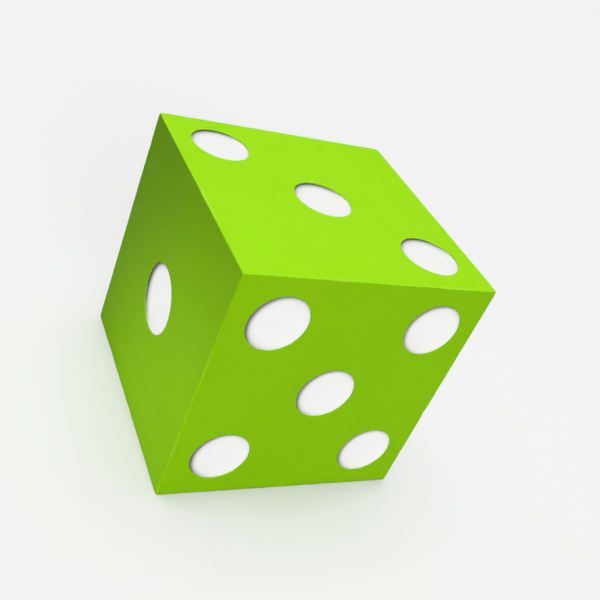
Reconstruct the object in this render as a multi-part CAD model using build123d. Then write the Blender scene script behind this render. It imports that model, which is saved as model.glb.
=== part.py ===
from build123d import *
import os

# A casino die, in millimetres: a solid cube of opaque lime-green plastic with
# razor edges. Each face is drilled with round, flat-floored pockets, and every
# pocket is filled by its own white enamel pip. The enamel was poured flush and
# shrank as it cured, so its lip lies just below the face and its middle is
# dished.
#
# Opposite faces add up to seven. The one, two and three run clockwise round
# the corner they share, and the single pip of the one is drilled larger.
#
# The die stands on its four. The origin is the middle of that face, +Z points
# up through the three, the five faces -Y and the one faces -X.

EDGE = 19.05  # the cube's edge, three quarters of an inch
EDGE_RADIUS = 0.08  # what polishing leaves of a razor edge

PIP_PITCH = 0.31 * EDGE  # between neighbouring rows or columns of pips
PIP_RADIUS = 0.112 * EDGE
ACE_RADIUS = 0.135 * EDGE  # the one's single pip

POCKET_DEPTH = 0.70
DRILL_CORNER = 0.12  # radius between a pocket's wall and its floor

LIP_DROP = 0.06  # from the face down to the lip of the enamel
LIP_WIDTH = 0.04  # flat ring of enamel round the dish
DISH_DEPTH = 0.20  # from the lip down to the floor of the dish
DISH_TAPER = 0.22  # how much smaller the dish's radius is at its floor than at its lip
DISH_CORNER = 0.30  # radius between the dish's wall and its floor

HALF = EDGE / 2
CENTRE = Vector(0, 0, HALF)

# Each face by its number: the way it looks, and its own left-to-right axis.
FACE_AXES = {
    1: ((-1, 0, 0), (0, -1, 0)),
    2: ((0, 1, 0), (-1, 0, 0)),
    3: ((0, 0, 1), (1, 0, 0)),
    4: ((0, 0, -1), (1, 0, 0)),
    5: ((0, -1, 0), (1, 0, 0)),
    6: ((1, 0, 0), (0, 1, 0)),
}

# The places of the pips on each face: column from left to right, and row from
# low to high, each -1, 0 or 1, with the face towards the reader.
CORNERS = [(-1, 1), (1, 1), (-1, -1), (1, -1)]
FALLING_DIAGONAL = [(-1, 1), (1, -1)]
PIP_PLACES = {
    1: [(0, 0)],
    2: FALLING_DIAGONAL,
    3: [*FALLING_DIAGONAL, (0, 0)],
    4: CORNERS,
    5: [*CORNERS, (0, 0)],
    6: [*CORNERS, (-1, 0), (1, 0)],
}

ROW_WORDS = {1: "upper", 0: "middle", -1: "lower"}
COLUMN_WORDS = {-1: "left", 0: "centre", 1: "right"}


def face_plane(number):
    """The plane of a face, with its origin at the middle and its normal outwards."""
    normal, left_to_right = FACE_AXES[number]
    middle = CENTRE + Vector(*normal) * HALF
    return Plane(origin=middle, x_dir=left_to_right, z_dir=normal)


def pip_radius(number):
    return ACE_RADIUS if number == 1 else PIP_RADIUS


def pip_name(number, column, row):
    """The node of a pip, such as pip_5_upper_left."""
    if (column, row) == (0, 0):
        return f"pip_{number}_centre"
    return f"pip_{number}_{ROW_WORDS[row]}_{COLUMN_WORDS[column]}"


def plug(radius, top):
    """What fills a drilled pocket from its rounded foot up to z = top, with the face at z = 0."""
    height = top + POCKET_DEPTH
    column = Pos(0, 0, top - height / 2) * Cylinder(radius, height)
    return fillet(column.edges().group_by(Axis.Z)[0], DRILL_CORNER)


def pocket(radius):
    """The space that the drill takes out of the cube below a face."""
    return plug(radius, 0)


def dish(radius):
    """The hollow in the enamel below its lip: a taper with a rounded foot."""
    mouth = radius - LIP_WIDTH
    hollow = Cone(mouth - DISH_TAPER, mouth, DISH_DEPTH)
    hollow = Pos(0, 0, -LIP_DROP - DISH_DEPTH / 2) * hollow
    return fillet(hollow.edges().group_by(Axis.Z)[0], DISH_CORNER)


def pip(radius):
    """One enamel pip, seated in a pocket below z = 0."""
    return plug(radius, -LIP_DROP) - dish(radius)


def die_body():
    """The cube with its edges broken and all its pockets drilled."""
    cube = Pos(CENTRE) * Box(EDGE, EDGE, EDGE)
    cube = fillet(cube.edges(), EDGE_RADIUS)
    pockets = [
        face_plane(number) * Pos(column * PIP_PITCH, row * PIP_PITCH) * pocket(pip_radius(number))
        for number, places in PIP_PLACES.items()
        for column, row in places
    ]
    return cube - pockets


def pips():
    """All the pips by their node names, each one seated in its pocket."""
    seated = {}
    for number, places in PIP_PLACES.items():
        for column, row in places:
            seat = face_plane(number) * Pos(column * PIP_PITCH, row * PIP_PITCH)
            seated[pip_name(number, column, row)] = seat * pip(pip_radius(number))
    return seated


os.makedirs("parts", exist_ok=True)
nodes = {"die_body": die_body(), **pips()}
for name, shape in nodes.items():
    export_step(shape, f"parts/{name}.step")
print(f"{len(nodes)} nodes, {sum(shape.volume for shape in nodes.values()):.1f} mm3")
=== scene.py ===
"""A casino die: a cube of opaque lime-green plastic with razor edges and 21 white enamel pips.

Everything is in metres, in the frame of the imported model: +Z is up and the die stands on its four.
A point on a face is given as (across, up, outward), measured from the cube's centre along that
face's own axes.
"""

import math

import bpy
import numpy as np
from mathutils import Matrix, Vector


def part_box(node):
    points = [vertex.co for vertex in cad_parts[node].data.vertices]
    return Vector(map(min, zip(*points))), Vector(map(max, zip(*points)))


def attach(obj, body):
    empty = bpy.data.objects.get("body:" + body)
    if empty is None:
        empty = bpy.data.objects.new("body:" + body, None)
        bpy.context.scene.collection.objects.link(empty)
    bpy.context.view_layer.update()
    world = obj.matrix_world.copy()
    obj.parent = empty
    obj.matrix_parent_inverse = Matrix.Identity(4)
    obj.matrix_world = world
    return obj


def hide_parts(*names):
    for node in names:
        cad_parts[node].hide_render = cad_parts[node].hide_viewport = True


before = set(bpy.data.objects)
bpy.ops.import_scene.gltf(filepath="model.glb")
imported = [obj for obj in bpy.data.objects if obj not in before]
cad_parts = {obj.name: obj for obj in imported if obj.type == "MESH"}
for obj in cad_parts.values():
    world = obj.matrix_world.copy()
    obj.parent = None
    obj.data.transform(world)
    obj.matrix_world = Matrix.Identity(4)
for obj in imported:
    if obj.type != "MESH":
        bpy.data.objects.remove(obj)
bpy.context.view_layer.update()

# ------------------------------------------------------------------------------- sizes and places

MM = 0.001
BODY_LOW, BODY_HIGH = (np.array(corner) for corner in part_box("die_body"))
EDGE = float(BODY_HIGH[0] - BODY_LOW[0])
HALF = EDGE / 2
CENTRE = (BODY_LOW + BODY_HIGH) / 2

EDGE_RADIUS = 0.08 * MM  # what polishing leaves of a razor edge
RIM_RADIUS = 0.025 * MM  # the broken rim of a drilled pocket
FOOT_RADIUS = 0.12 * MM  # between a pocket's wall and its floor

# Each face by its number: the way it looks, and its own left-to-right axis.
FACE_AXES = {
    1: ((-1, 0, 0), (0, -1, 0)),
    2: ((0, 1, 0), (-1, 0, 0)),
    3: ((0, 0, 1), (1, 0, 0)),
    4: ((0, 0, -1), (1, 0, 0)),
    5: ((0, -1, 0), (1, 0, 0)),
    6: ((1, 0, 0), (0, 1, 0)),
}


def face_axes(number):
    """A face's across, up and outward axes, as the rows of a matrix."""
    outward, across = (np.array(axis, float) for axis in FACE_AXES[number])
    return np.array([across, np.cross(outward, across), outward])


class Seat:
    """Where the frame puts a pip: its face, the middle and radius of its pocket, and its depths."""

    def __init__(self, node):
        self.node = node
        self.number = int(node.split("_")[1])
        corners = [face_axes(self.number) @ (np.array(corner) - CENTRE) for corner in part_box(node)]
        low, high = np.min(corners, axis=0), np.max(corners, axis=0)
        self.middle = (low + high)[:2] / 2
        self.radius = (high - low)[0] / 2
        self.lip = HALF - high[2]
        self.foot = HALF - low[2]


SEATS = [Seat(node) for node in sorted(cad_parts) if node.startswith("pip_")]
PIP_PITCH = max(seat.middle[0] for seat in SEATS)

# The boxes are those of faceted pips, so the middles are put back on their even grid.
for seat in SEATS:
    seat.middle = PIP_PITCH * np.round(seat.middle / PIP_PITCH)

# -------------------------------------------------------------------------- meshes out of arrays

WELD = 1e-8  # points nearer than this are one point


def grid_quads(rows, columns, closed=False):
    """The corners of each quad of a grid of points that is stored row by row.

    A closed grid joins its last column to its first.
    """
    index = np.arange(rows * columns).reshape(rows, columns)
    if closed:
        index = np.hstack([index, index[:, :1]])
    corners = [index[:-1, :-1], index[:-1, 1:], index[1:, 1:], index[1:, :-1]]
    return np.stack(corners, axis=-1).reshape(-1, 4)


def join(patches):
    """Several (points, quads) patches as one."""
    starts = np.cumsum([0] + [len(points) for points, _ in patches[:-1]])
    points = np.concatenate([points for points, _ in patches])
    quads = np.concatenate([quads + start for (_, quads), start in zip(patches, starts)])
    return points, quads


def weld(points, quads):
    """Makes one point of those that coincide.

    A quad that this leaves with three corners is a triangle.
    """
    keys = np.round(points / WELD).astype(np.int64)
    _, first, place = np.unique(keys, axis=0, return_index=True, return_inverse=True)
    quads = place.reshape(-1)[quads]
    repeated = quads == np.roll(quads, 1, axis=1)
    shrunk = repeated.any(axis=1)
    triangles = quads[shrunk][~repeated[shrunk]].reshape(-1, 3)
    return points[first], quads[~shrunk], triangles


def make_piece(name, points, quads):
    """A smooth-shaded mesh object from a patch, once it is welded."""
    points, quads, triangles = weld(points, quads)
    corners = np.concatenate([quads.ravel(), triangles.ravel()])
    sizes = np.concatenate([np.full(len(quads), 4), np.full(len(triangles), 3)])
    mesh = bpy.data.meshes.new(name)
    mesh.vertices.add(len(points))
    mesh.vertices.foreach_set("co", points.astype(np.float32).ravel())
    mesh.loops.add(len(corners))
    mesh.loops.foreach_set("vertex_index", corners.astype(np.int32))
    mesh.polygons.add(len(sizes))
    mesh.polygons.foreach_set("loop_start", (np.cumsum(sizes) - sizes).astype(np.int32))
    mesh.update(calc_edges=True)
    mesh.shade_smooth()
    piece = bpy.data.objects.new(name, mesh)
    bpy.context.scene.collection.objects.link(piece)
    return piece


def arc(steps):
    """The sine and cosine of equal angles through a quarter turn."""
    angles = np.linspace(0, math.pi / 2, steps + 1)
    return np.sin(angles), np.cos(angles)


# ---------------------------------------------------------------------------------- the cube

CELL_STEPS = 24  # quads along one side of a pip's square cell
MARGIN_STEPS = 5  # between the cells and the rounding of an edge
ROUND_STEPS = 4  # over one face's half of an edge's rounding
SQUARE_STEPS = 6  # from a cell's square in to its pocket's rim
RIM_STEPS = 4  # over the rounding of a pocket's rim
FOOT_STEPS = 3  # round a pocket's foot
FLOOR_RINGS = np.array([0.6, 0.2, 0])  # on a pocket's floor, as shares of its flat part's radius
CELL_HALF = PIP_PITCH / 2

# Unit vectors at equal turns round a pip's middle, from a corner of its cell.
TURN_STEPS = 4 * CELL_STEPS
TURNS = np.linspace(0, 2 * math.pi, TURN_STEPS, endpoint=False) + math.pi / 4
ROUND_ABOUT = np.stack([np.cos(TURNS), np.sin(TURNS)], axis=-1)

# The knocks that play gives a die. Each pair is the least and the most.
KNOCKS_PER_EDGE = (4, 8)
EDGE_KNOCK_REACH = (0.18 * MM, 0.40 * MM)
CORNER_KNOCK_REACH = (0.20 * MM, 0.30 * MM)
DEEPEST_KNOCK = 0.035 * MM
CORNER_KNOCK_DEPTH = (0.015 * MM, DEEPEST_KNOCK)


def face_lines():
    """The grid lines of a face, from one edge of the cube to the other.

    Within a cell they lie at the tangents of equal angles, so that they meet the sides of the
    cell's square at equal turns round its middle. The margin's steps shrink by half towards the
    edge, and over the rounding the lines again follow the tangents of equal angles.
    """
    tangents = np.tan(np.linspace(-math.pi / 4, math.pi / 4, CELL_STEPS + 1))
    cells = [column * PIP_PITCH + CELL_HALF * tangents for column in (-1, 0, 1)]
    start, end = PIP_PITCH + CELL_HALF, HALF - EDGE_RADIUS
    margin = end - (end - start) * 0.5 ** np.arange(1, MARGIN_STEPS)
    rounding = end + EDGE_RADIUS * np.tan(np.linspace(0, math.pi / 4, ROUND_STEPS + 1))
    side = np.concatenate([margin, rounding])
    core = np.concatenate([cells[0], cells[1][1:], cells[2][1:]])
    return np.concatenate([-side[::-1], core, side])


def rounded(points):
    """Carries the surface of a sharp cube, centred on zero, onto one with rounded edges.

    The core is a cube smaller by the radius all round. Each point goes to the radius's length
    from the point of the core nearest to it. Gives the points and their outward normals.
    """
    core = np.clip(points, EDGE_RADIUS - HALF, HALF - EDGE_RADIUS)
    outward = points - core
    outward /= np.linalg.norm(outward, axis=1, keepdims=True)
    return core + EDGE_RADIUS * outward, outward


def draw_knocks():
    """The middles, reaches and depths of the knocks on the cube, which is centred on zero here.

    Each of the twelve edges has a few at random places along it, most of them shallow, because
    their depths follow the cube of an even draw. Each corner has one.
    """
    rng = np.random.default_rng(21)
    fewest, most = KNOCKS_PER_EDGE
    middles, reaches, depths = [], [], []
    for along in range(3):
        for first in (-1, 1):
            for second in (-1, 1):
                count = rng.integers(fewest, most + 1)
                middle = np.empty((count, 3))
                middle[:, along] = rng.uniform(-0.95, 0.95, count)
                middle[:, (along + 1) % 3] = first
                middle[:, (along + 2) % 3] = second
                middles.append(HALF * middle)
                reaches.append(rng.uniform(*EDGE_KNOCK_REACH, count))
                depths.append(DEEPEST_KNOCK * rng.uniform(0.1, 1.0, count) ** 3)
    corners = np.array([(x, y, z) for x in (-1, 1) for y in (-1, 1) for z in (-1, 1)], float)
    middles.append(HALF * corners)
    reaches.append(rng.uniform(*CORNER_KNOCK_REACH, len(corners)))
    depths.append(rng.uniform(*CORNER_KNOCK_DEPTH, len(corners)))
    return np.concatenate(middles), np.concatenate(reaches), np.concatenate(depths)


KNOCKS = draw_knocks()


def knocked_face(points, outward, number):
    """Knocks the points of a face, and carries them into the frame.

    Each knock pushes the surface in by its depth times exp(-(distance / reach) squared).
    """
    axes = face_axes(number)
    points = points @ axes
    middles, reaches, depths = KNOCKS
    distance = np.linalg.norm(points[:, None] - middles, axis=2)
    push = (depths * np.exp(-((distance / reaches) ** 2))).sum(axis=1)
    return CENTRE + (points - push[:, None] * (outward @ axes))


def plain_face(number):
    """A face of the cube as one grid, less the square cells that its pips take."""
    lines = face_lines()
    across, up = np.meshgrid(lines, lines)
    points = np.stack([across, up, np.full_like(across, HALF)], axis=-1).reshape(-1, 3)
    quads = grid_quads(len(lines), len(lines))
    middles = points[quads][:, :, :2].mean(axis=1)
    taken = np.zeros(len(quads), bool)
    for seat in SEATS:
        if seat.number == number:
            taken |= (np.abs(middles - seat.middle) < CELL_HALF).all(axis=1)
    points, outward = rounded(points)
    return knocked_face(points, outward, number), quads[~taken]


def pocket_cell(seat):
    """A pip's cell: the face from the cell's square in to the pocket's rim, and the pocket itself.

    The grid's columns are equal turns round the middle. Its rows run from the square to the rim,
    at shrinking steps, then over the rim's rounding, down the wall, round the foot and over the
    floor to the middle.
    """
    square = CELL_HALF / np.abs(ROUND_ABOUT).max(axis=1)
    rim = seat.radius + RIM_RADIUS
    share = 1 - 0.5 ** np.arange(SQUARE_STEPS + 1)
    share[-1] = 1
    on_face = square + share[:, None] * (rim - square)

    rim_sine, rim_cosine = arc(RIM_STEPS)
    foot_sine, foot_cosine = arc(FOOT_STEPS)
    inner = seat.radius - FOOT_RADIUS
    radius = np.concatenate([
        rim - RIM_RADIUS * rim_sine[1:],
        inner + FOOT_RADIUS * foot_cosine,
        inner * FLOOR_RINGS,
    ])
    depth = np.concatenate([
        np.zeros(len(share)),
        RIM_RADIUS * (1 - rim_cosine[1:]),
        seat.foot - FOOT_RADIUS * (1 - foot_sine),
        np.full(len(FLOOR_RINGS), seat.foot),
    ])
    radius = np.concatenate([on_face, np.tile(radius[:, None], TURN_STEPS)])
    flat = seat.middle + radius[:, :, None] * ROUND_ABOUT
    height = np.broadcast_to((HALF - depth)[:, None, None], (*radius.shape, 1))
    points = np.concatenate([flat, height], axis=-1).reshape(-1, 3)
    outward = np.broadcast_to((0.0, 0.0, 1.0), points.shape)
    return knocked_face(points, outward, seat.number), grid_quads(*radius.shape, closed=True)


def make_body():
    """The whole cube: six faces and 21 pockets, welded into one closed skin."""
    patches = [plain_face(number) for number in FACE_AXES]
    patches += [pocket_cell(seat) for seat in SEATS]
    body = make_piece("die_cube", *join(patches))
    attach(body, "root")
    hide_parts("die_body")
    return body


# ---------------------------------------------------------------------------------- the pips

DISH_DEPTH = 0.20 * MM  # from the enamel's lip down to the floor of its dish
MENISCUS = 0.21 * MM  # how far from the wall the enamel's climb falls to a third
DISH_STEPS = 28  # from the wall to the middle of a dish
DISH_CROWDING = 1.8  # the power that crowds those steps towards the wall
PIP_FOOT_STEPS = 4  # round the foot of a pip
BASE_RINGS = np.array([0, 0.5])  # on a pip's base, as shares of its flat part's radius

WAVES = 5
WAVE_LENGTHS = (0.9, 2.5)  # the shortest and the longest, in radii of the pip
WAVE_HEIGHT = 0.006 * MM  # of all the waves together


def pip_profile(seat):
    """The radius and depth of a pip's outline, from the middle of its base to that of its dish.

    The enamel shrank as it cured. Its floor is flat, and it climbs to the wall as an exponential
    of the distance from it, which is the shape that surface tension gives. Gives also the number
    of points that lie below the lip.
    """
    sine, cosine = arc(PIP_FOOT_STEPS)
    inner = seat.radius - FOOT_RADIUS
    base_radius = np.concatenate([inner * BASE_RINGS, inner + FOOT_RADIUS * sine])
    base_depth = np.concatenate([np.full(len(BASE_RINGS), seat.foot),
                                 seat.foot - FOOT_RADIUS * (1 - cosine)])
    from_wall = seat.radius * np.linspace(0, 1, DISH_STEPS + 1) ** DISH_CROWDING
    climb = DISH_DEPTH * np.exp(-from_wall / MENISCUS)
    radius = np.concatenate([base_radius, seat.radius - from_wall])
    depth = np.concatenate([base_depth, seat.lip + DISH_DEPTH - climb])
    return radius, depth, len(base_radius)


def waves(flat, radius, rng):
    """The slow unevenness of poured enamel: the mean of a few cosines across the dish.

    It fades at the wall, as one less the sixth power of the distance from the middle, in radii.
    """
    height = np.zeros(flat.shape[:-1])
    for _ in range(WAVES):
        direction = rng.normal(size=2)
        length = rng.uniform(*WAVE_LENGTHS) * radius
        phase = rng.uniform(0, 2 * math.pi)
        direction *= 2 * math.pi / (length * np.linalg.norm(direction))
        height += np.cos(flat @ direction + phase)
    away = np.linalg.norm(flat, axis=-1) / radius
    return WAVE_HEIGHT * height / WAVES * np.clip(1 - away**6, 0, 1)


def make_pip(seat, order):
    """One pip: its profile carried round its axis, closed by a point at each end."""
    radius, depth, base_rows = pip_profile(seat)
    flat = radius[:, None, None] * ROUND_ABOUT
    outward = np.tile(HALF - depth[:, None], TURN_STEPS)
    outward[base_rows:] += waves(flat[base_rows:], seat.radius, np.random.default_rng(100 + order))
    points = np.concatenate([seat.middle + flat, outward[:, :, None]], axis=-1).reshape(-1, 3)
    quads = grid_quads(len(radius), TURN_STEPS, closed=True)
    pip = make_piece("enamel_" + seat.node, CENTRE + points @ face_axes(seat.number), quads)
    write_plane_map(pip, seat)
    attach(pip, "root")
    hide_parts(seat.node)
    return pip


def write_plane_map(pip, seat):
    """A UV map in the plane of the face: the place from the pip's middle, in radii, halved, plus 0.5."""
    mesh = pip.data
    places = np.empty(len(mesh.vertices) * 3, np.float32)
    mesh.vertices.foreach_get("co", places)
    on_face = (places.reshape(-1, 3) - CENTRE) @ face_axes(seat.number).T
    on_map = (on_face[:, :2] - seat.middle) / seat.radius / 2 + 0.5
    corners = np.empty(len(mesh.loops), np.int32)
    mesh.loops.foreach_get("vertex_index", corners)
    layer = mesh.uv_layers.new(name="pip_plane")
    layer.uv.foreach_set("vector", on_map[corners].astype(np.float32).ravel())


# ---------------------------------------------------------------------------------- node helpers

# A Mix node has a set of sockets for each kind of value. These are the ones for colours.
MIX_SHARE, MIX_FIRST, MIX_SECOND, MIX_RESULT = 0, 6, 7, 2


def feed(tree, socket, value):
    """Links an input to another node's output, or sets it to a plain value."""
    if isinstance(value, bpy.types.NodeSocket):
        tree.links.new(value, socket)
    else:
        socket.default_value = value


def add(tree, kind, inputs=(), **settings):
    """Adds a node, with its settings and what feeds its inputs."""
    node = tree.nodes.new(kind)
    for name, value in settings.items():
        setattr(node, name, value)
    for name, value in dict(inputs).items():
        feed(tree, node.inputs[name], value)
    return node


def maths(tree, operation, *values):
    """A Math node's result."""
    return add(tree, "ShaderNodeMath", enumerate(values), operation=operation).outputs[0]


def vector_maths(tree, operation, *values):
    """A Vector Math node's result, which is a number for a dot product or a length."""
    node = add(tree, "ShaderNodeVectorMath", enumerate(values), operation=operation)
    return node.outputs["Value" if operation in ("DOT_PRODUCT", "LENGTH") else "Vector"]


def scaled(tree, vector, gain):
    """A vector or a colour times a number."""
    return add(tree, "ShaderNodeVectorMath", {0: vector, "Scale": gain}, operation="SCALE").outputs[0]


def ramp(tree, value, low, high, to_low=0.0, to_high=1.0):
    """A smooth step: to_low where value is low, to_high where it is high."""
    inputs = {"Value": value, "From Min": low, "From Max": high, "To Min": to_low, "To Max": to_high}
    return add(tree, "ShaderNodeMapRange", inputs, interpolation_type="SMOOTHSTEP").outputs[0]


def noise(tree, size, detail=2.0, roughness=0.5, distortion=0.0):
    """Clouds of the given size, in metres, with values about 0.5 on average."""
    scale = maths(tree, "DIVIDE", 1.0, size) if isinstance(size, bpy.types.NodeSocket) else 1 / size
    inputs = {"Vector": object_place(tree), "Scale": scale, "Detail": detail, "Roughness": roughness,
              "Distortion": distortion}
    return add(tree, "ShaderNodeTexNoise", inputs).outputs[0]


def mix(tree, share, first, second):
    """A colour between first, at share 0, and second, at share 1."""
    inputs = {MIX_SHARE: share, MIX_FIRST: first, MIX_SECOND: second}
    return add(tree, "ShaderNodeMix", inputs, data_type="RGBA").outputs[MIX_RESULT]


def object_place(tree):
    """The point of the surface, in metres in the frame."""
    return add(tree, "ShaderNodeTexCoord").outputs["Object"]


def coated(tree, colour, coat, *masks):
    """A colour under coats of another one, each as thick as its mask times its strength."""
    for mask, strength in masks:
        colour = mix(tree, maths(tree, "MULTIPLY", mask, strength), colour, coat)
    return colour


def raised(tree, value, *masks):
    """A value plus each mask times its amount."""
    for mask, amount in masks:
        value = maths(tree, "MULTIPLY_ADD", mask, amount, value)
    return value


def stirred(tree, value, cloud, amount):
    """A value moved up and down by a cloud: the value plus the amount times (cloud - 0.5)."""
    return raised(tree, value, (maths(tree, "SUBTRACT", cloud, 0.5), amount))


def new_group(name, inputs, outputs):
    """An empty shader node group with these sockets. Gives it, its input sockets and its end node."""
    group = bpy.data.node_groups.new(name, "ShaderNodeTree")
    for socket, (kind, value) in inputs.items():
        made = group.interface.new_socket(socket, in_out="INPUT", socket_type="NodeSocket" + kind)
        made.default_value = value
    for socket, kind in outputs.items():
        group.interface.new_socket(socket, in_out="OUTPUT", socket_type="NodeSocket" + kind)
    return group, group.nodes.new("NodeGroupInput").outputs, group.nodes.new("NodeGroupOutput")


def use(tree, group, inputs):
    """Places a group in a tree and gives its one output."""
    return add(tree, "ShaderNodeGroup", inputs, node_tree=group).outputs[0]


# ---------------------------------------------------------------------------------- shared effects


def make_colour_drift():
    """A colour made a little lighter and darker in slow clouds of the given size, in metres."""
    sockets = {"Colour": ("Color", (1, 1, 1, 1)), "Size": ("Float", 4 * MM), "Amount": ("Float", 0.04)}
    group, given, end = new_group("colour_drift", sockets, {"Colour": "Color"})
    cloud = noise(group, given["Size"], detail=3.0, roughness=0.55)
    gain = stirred(group, 1.0, cloud, maths(group, "MULTIPLY", given["Amount"], 2.0))
    feed(group, end.inputs["Colour"], scaled(group, given["Colour"], gain))
    return group


def make_scratches():
    """Fine straight scratches, at most one in each cell of a Voronoi pattern of the given size.

    Each lies where the surface cuts a plane through the middle of its cell, turned at random, and
    fades away from that middle, so its length is about the size at most. Only a share of the
    cells have one, and they run from faint to full, by the fraction left of 57 times the cell's
    random red.
    """
    sockets = {"Size": ("Float", 4 * MM), "Width": ("Float", 0.02 * MM), "Share": ("Float", 0.5)}
    group, given, end = new_group("scratches", sockets, {"Mask": "Float"})
    place = vector_maths(group, "DIVIDE", object_place(group), given["Size"])
    cells = add(group, "ShaderNodeTexVoronoi", {"Vector": place, "Scale": 1.0}).outputs
    turned = vector_maths(group, "SUBTRACT", cells["Color"], (0.5, 0.5, 0.5))
    turned = vector_maths(group, "NORMALIZE", turned)
    from_middle = vector_maths(group, "SUBTRACT", place, cells["Position"])
    off = maths(group, "ABSOLUTE", vector_maths(group, "DOT_PRODUCT", from_middle, turned))
    half_width = maths(group, "DIVIDE", maths(group, "MULTIPLY", given["Width"], 0.5), given["Size"])
    line = ramp(group, off, 0.0, half_width, 1.0, 0.0)
    ends = ramp(group, cells["Distance"], 0.30, 0.55, 1.0, 0.0)
    draw = add(group, "ShaderNodeSeparateXYZ", {0: cells["Color"]}).outputs[0]
    draw = maths(group, "FRACT", maths(group, "MULTIPLY", draw, 57.0))
    full = ramp(group, draw, 0.0, given["Share"], 1.0, 0.0)
    mask = maths(group, "MULTIPLY", maths(group, "MULTIPLY", line, ends), full)
    feed(group, end.inputs["Mask"], mask)
    return group


def make_handling():
    """Where fingers have left the surface a little duller: slow, drawn-out smears from 0 to 1."""
    group, given, end = new_group("handling", {"Size": ("Float", 6 * MM)}, {"Mask": "Float"})
    smear = noise(group, given["Size"], detail=4.0, roughness=0.6, distortion=0.8)
    feed(group, end.inputs["Mask"], ramp(group, smear, 0.42, 0.66))
    return group


def make_grain():
    """A fine even grain as a height from 0 to 1, for a lapped or a poured surface."""
    group, given, end = new_group("grain", {"Size": ("Float", 0.1 * MM)}, {"Height": "Float"})
    feed(group, end.inputs["Height"], noise(group, given["Size"], detail=2.0, roughness=0.6))
    return group


# ---------------------------------------------------------------------------------- finishes

LIME = (0.236, 0.503, 0.018, 1)
SCUFFED_LIME = (0.36, 0.62, 0.10, 1)
ENAMEL = (0.88, 0.88, 0.87, 1)
# Grey for grime, pits and scratches on the enamel, and for the painted shade along each pip's wall
GRIME_AND_SHADE_GREY = (0.30, 0.31, 0.29, 1)

# The size and width of three kinds of scratch on the plastic, and the share of places with one.
PLASTIC_SCRATCHES = [
    (6.0 * MM, 0.030 * MM, 0.60),
    (4.0 * MM, 0.026 * MM, 0.75),
    (2.2 * MM, 0.020 * MM, 0.75),
]


def new_material(name, settings):
    """A material with a Principled shader, set as told. Gives it, its tree and the shader."""
    material = bpy.data.materials.new(name)
    material.use_nodes = True
    tree = material.node_tree
    tree.nodes.clear()
    shader = add(tree, "ShaderNodeBsdfPrincipled", settings)
    add(tree, "ShaderNodeOutputMaterial", {"Surface": shader.outputs[0]})
    return material, tree, shader


def dress(tree, shader, colour, dull, height, depth):
    """Feeds a shader its colour, its roughness and its relief.

    Depth is how far a height of 1 stands out of the surface, in metres.
    """
    bump = add(tree, "ShaderNodeBump", {"Height": height, "Strength": 1.0, "Distance": depth})
    inputs = {"Base Color": colour, "Roughness": dull, "Normal": bump.outputs[0]}
    for name, value in inputs.items():
        feed(tree, shader.inputs[name], value)


def edge_nearness(tree):
    """How near a point of the cube is to an edge: 1 on it, and less by the distance in half edges.

    It is the middle one of the three coordinates from the cube's centre, by size, in half edges.
    """
    from_centre = vector_maths(tree, "SUBTRACT", object_place(tree), tuple(CENTRE))
    share = scaled(tree, vector_maths(tree, "ABSOLUTE", from_centre), 1 / HALF)
    x, y, z = add(tree, "ShaderNodeSeparateXYZ", {0: share}).outputs
    larger, smaller = maths(tree, "MAXIMUM", x, y), maths(tree, "MINIMUM", x, y)
    return maths(tree, "MAXIMUM", smaller, maths(tree, "MINIMUM", larger, z))


def lime_plastic(drift, scratches, handling, grain):
    """Opaque lime-green cellulose acetate, lapped to a satin gloss and a little worn at its edges.

    The wear keeps to a strip along each edge, whose width drifts from place to place and whose
    border is ragged.
    """
    material, tree, shader = new_material("lime_plastic", {"IOR": 1.48, "Specular IOR Level": 0.2})
    ragged = noise(tree, 0.30 * MM, detail=4.0, roughness=0.65)
    near = stirred(tree, edge_nearness(tree), ragged, 0.045)
    worn_width = ramp(tree, noise(tree, 3.0 * MM), 0.45, 0.70, 0.002, 0.030)
    wear = ramp(tree, near, maths(tree, "SUBTRACT", 1.0, worn_width), 1.005)
    scratched = 0.0
    for size, width, share in PLASTIC_SCRATCHES:
        marks = use(tree, scratches, {"Size": size, "Width": width, "Share": share})
        scratched = maths(tree, "MAXIMUM", scratched, marks)
    smear = use(tree, handling, {"Size": 6 * MM})

    colour = use(tree, drift, {"Colour": LIME, "Size": 5 * MM, "Amount": 0.035})
    colour = use(tree, drift, {"Colour": colour, "Size": 0.22 * MM, "Amount": 0.04})
    colour = coated(tree, colour, SCUFFED_LIME, (wear, 0.28), (scratched, 0.65))
    dull = raised(tree, 0.34, (smear, 0.10), (scratched, 0.15), (wear, 0.15))
    lapping = use(tree, grain, {"Size": 0.07 * MM})
    chips = maths(tree, "MULTIPLY", wear, ragged)
    height = raised(tree, 0.0, (lapping, 0.6), (scratched, -1.6), (chips, -2.0))
    dress(tree, shader, colour, dull, height, 0.0015 * MM)
    return material


def pip_reach(tree):
    """How far a point of a pip is from its middle, in radii."""
    place = add(tree, "ShaderNodeUVMap", uv_map="pip_plane").outputs[0]
    from_middle = vector_maths(tree, "SUBTRACT", place, (0.5, 0.5, 0))
    return maths(tree, "MULTIPLY", vector_maths(tree, "LENGTH", from_middle), 2.0)


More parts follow.
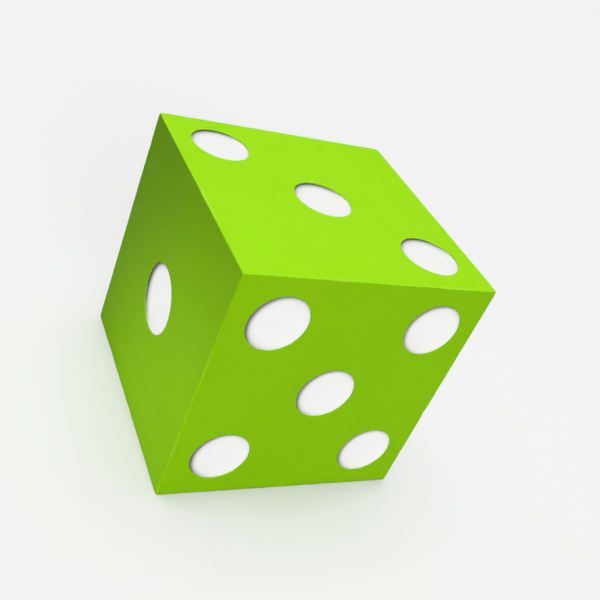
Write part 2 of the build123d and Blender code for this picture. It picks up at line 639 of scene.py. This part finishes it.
def white_enamel(drift, scratches, handling, grain):
    """White enamel, poured and cured: faintly mottled and pitted, and greyed along its wall by grime and
    by painted shade.

    The grey follows the eighth power of the distance from the middle, in radii.
    """
    material, tree, shader = new_material("white_enamel", {"IOR": 1.5})
    ragged = noise(tree, 0.30 * MM, detail=3.0, roughness=0.6)
    # Painted shade and grime: a grey ring that darkens the enamel towards the pocket's wall, where its
    # rim would shade it
    grime_and_shade = maths(tree, "POWER", stirred(tree, pip_reach(tree), ragged, 0.04), 8.0)
    pits = ramp(tree, noise(tree, 0.16 * MM, detail=1.0), 0.70, 0.76)
    marks = use(tree, scratches, {"Size": 2.6 * MM, "Width": 0.016 * MM, "Share": 0.6})
    smear = use(tree, handling, {"Size": 2.5 * MM})

    colour = use(tree, drift, {"Colour": ENAMEL, "Size": 1.4 * MM, "Amount": 0.04})
    colour = coated(tree, colour, GRIME_AND_SHADE_GREY, (grime_and_shade, 0.9), (pits, 0.35), (marks, 0.22))
    dull = raised(tree, 0.30, (smear, 0.10), (grime_and_shade, 0.20))
    cured = use(tree, grain, {"Size": 0.16 * MM})
    height = raised(tree, cured, (marks, -0.8), (pits, -2.0))
    dress(tree, shader, colour, dull, height, 0.002 * MM)
    return material


# ---------------------------------------------------------------------------------- studio

FLOOR_SIDE = 4.0
FLOOR_SHOWN = (0.70, 0.70, 0.70, 1)  # the floor as the camera sees it
FLOOR_BOUNCE = (0.22, 0.22, 0.22, 1)  # the floor as it throws light back at the die
ROOM_LIGHT = (0.12, 0.12, 0.12, 1)  # what the room gives the die
ROOM_SHOWN = (1.07, 1.07, 1.07, 1)  # what shows past the floor

# The way that the pips of each face are lit from, and how strongly.
PIP_LIGHTS = {
    1: ((-0.66, 0.70, 0.27), 5.0),
    2: ((0.40, 0.72, 0.57), 4.4),
    3: ((-0.19, 0.59, 0.78), 5.1),
    4: ((0.0, 0.0, -1.0), 3.0),
    5: ((-0.73, -0.42, 0.53), 7.7),
    6: ((0.72, -0.40, 0.57), 4.4),
}
PIP_SOFTNESS = 22  # the angle that each of these lights fills, in degrees

# The low light's place and what it is aimed at: off the one, and past its lower front corner.
LOW_PLACE = CENTRE - np.array([90, 0, 0]) * MM
LOW_TARGET = CENTRE + HALF * np.array([-1.0, -1.5, -1.4])

VIEW_AZIMUTH, VIEW_ELEVATION, VIEW_ROLL = (math.radians(x) for x in (-35.96, 31.70, -24.23))
VIEW_DISTANCE = 3.3335 * EDGE
VIEW_RIGHT, VIEW_UP = 0.0897 * EDGE, 0.0198 * EDGE  # the lens's axis passes the cube's centre here
LENS, SENSOR = 50.49, 36.0  # in millimetres


def make_floor():
    """A plain pale floor at the die's foot."""
    side = FLOOR_SIDE / 2
    across, along = np.meshgrid([-side, side], [-side, side])
    points = np.stack([across, along, np.zeros_like(across)], axis=-1).reshape(-1, 3)
    floor = make_piece("floor", points, grid_quads(2, 2))
    material, tree, shader = new_material("pale_floor", {"Roughness": 0.8, "Specular IOR Level": 0.1})
    seen = add(tree, "ShaderNodeLightPath").outputs["Is Camera Ray"]
    feed(tree, shader.inputs["Base Color"], mix(tree, seen, FLOOR_BOUNCE, FLOOR_SHOWN))
    floor.data.materials.append(material)
    return floor


def make_room():
    """A dim even room. Past the floor's far edge it shows as pale as the floor."""
    world = bpy.data.worlds.new("studio")
    world.use_nodes = True
    tree = world.node_tree
    tree.nodes.clear()
    lit = add(tree, "ShaderNodeBackground", {"Color": ROOM_LIGHT})
    shown = add(tree, "ShaderNodeBackground", {"Color": ROOM_SHOWN})
    seen = add(tree, "ShaderNodeLightPath").outputs["Is Camera Ray"]
    both = add(tree, "ShaderNodeMixShader", {0: seen, 1: lit.outputs[0], 2: shown.outputs[0]})
    add(tree, "ShaderNodeOutputWorld", {"Surface": both.outputs[0]})
    bpy.context.scene.world = world


def make_lamp(name, kind, power, place, target, pieces):
    """A lamp at a place, turned to face a target, whose light falls on some pieces only.

    All pieces still cast their shadows in it. Gives the lamp's data.
    """
    data = bpy.data.lights.new(name, kind)
    data.energy = power
    lamp = bpy.data.objects.new(name, data)
    lamp.location = place
    lamp.rotation_mode = "QUATERNION"
    lamp.rotation_quaternion = (Vector(target) - Vector(place)).to_track_quat("-Z", "Y")
    bpy.context.scene.collection.objects.link(lamp)
    lit = bpy.data.collections.new(name + "_lights")
    for piece in pieces:
        lit.objects.link(piece)
    lamp.light_linking.receiver_collection = lit
    return data


def make_sun(name, towards, strength, softness, pieces):
    """A broad even light from a direction. Softness is the angle that it fills, in degrees."""
    data = make_lamp(name, "SUN", strength, towards, (0, 0, 0), pieces)
    data.angle = math.radians(softness)


def make_spot(name, place, target, power, cone, pieces):
    """A soft-edged spot, whose cone is given in degrees."""
    data = make_lamp(name, "SPOT", power, place, target, pieces)
    data.shadow_soft_size = 8 * MM
    data.spot_size = math.radians(cone)
    data.spot_blend = 0.6


def make_lights(body, pips, floor):
    """A key from above, fills from the front, the side and the back, and a low light on the one.

    The pips are lit apart from the plastic, those of each face from its upper left in the view,
    which shades the upper left of every dish. Of the low light, only the soft edge of the cone
    reaches the one, and it brightens the lower part of that face.
    """
    make_sun("key", (-0.02, 0.12, 0.99), 3.62, 50, [body, floor])
    make_sun("front_fill", (-0.14, -0.90, 0.40), 2.50, 40, [body, floor])
    make_sun("side_fill", (0.95, 0.00, 0.30), 0.9, 40, [body])
    make_sun("back_fill", (-0.05, 0.97, 0.25), 0.6, 30, [body])
    make_spot("low_light", LOW_PLACE, LOW_TARGET, 0.145, 38, [body])
    for number, (towards, strength) in PIP_LIGHTS.items():
        make_sun(f"pip_light_{number}", towards, strength, PIP_SOFTNESS, pips[number])


def make_camera():
    """The view: from the front left and above, rolled, with the lens's axis a little off centre."""
    data = bpy.data.cameras.new("view")
    data.lens = LENS
    data.sensor_width = SENSOR
    data.clip_start = 1 * MM
    data.clip_end = 5 * FLOOR_SIDE
    back = Vector((
        math.sin(VIEW_AZIMUTH) * math.cos(VIEW_ELEVATION),
        -math.cos(VIEW_AZIMUTH) * math.cos(VIEW_ELEVATION),
        math.sin(VIEW_ELEVATION),
    ))
    level_right = Vector((0, 0, 1)).cross(back).normalized()
    right = Matrix.Rotation(-VIEW_ROLL, 3, back) @ level_right
    up = back.cross(right)
    place = Vector(CENTRE) + VIEW_DISTANCE * back + VIEW_RIGHT * right + VIEW_UP * up
    turn = Matrix((right, up, back)).transposed()
    camera = bpy.data.objects.new("view", data)
    bpy.context.scene.collection.objects.link(camera)
    camera.matrix_world = Matrix.Translation(place) @ turn.to_4x4()
    bpy.context.scene.camera = camera


# ---------------------------------------------------------------------------------- the scene

effects = make_colour_drift(), make_scratches(), make_handling(), make_grain()
lime = lime_plastic(*effects)
enamel = white_enamel(*effects)

body = make_body()
body.data.materials.append(lime)
pips = {number: [] for number in FACE_AXES}
for order, seat in enumerate(SEATS):
    pip = make_pip(seat, order)
    pip.data.materials.append(enamel)
    pips[seat.number].append(pip)

make_room()
make_lights(body, pips, make_floor())
make_camera()
bpy.context.scene.view_settings.view_transform = "Khronos PBR Neutral"
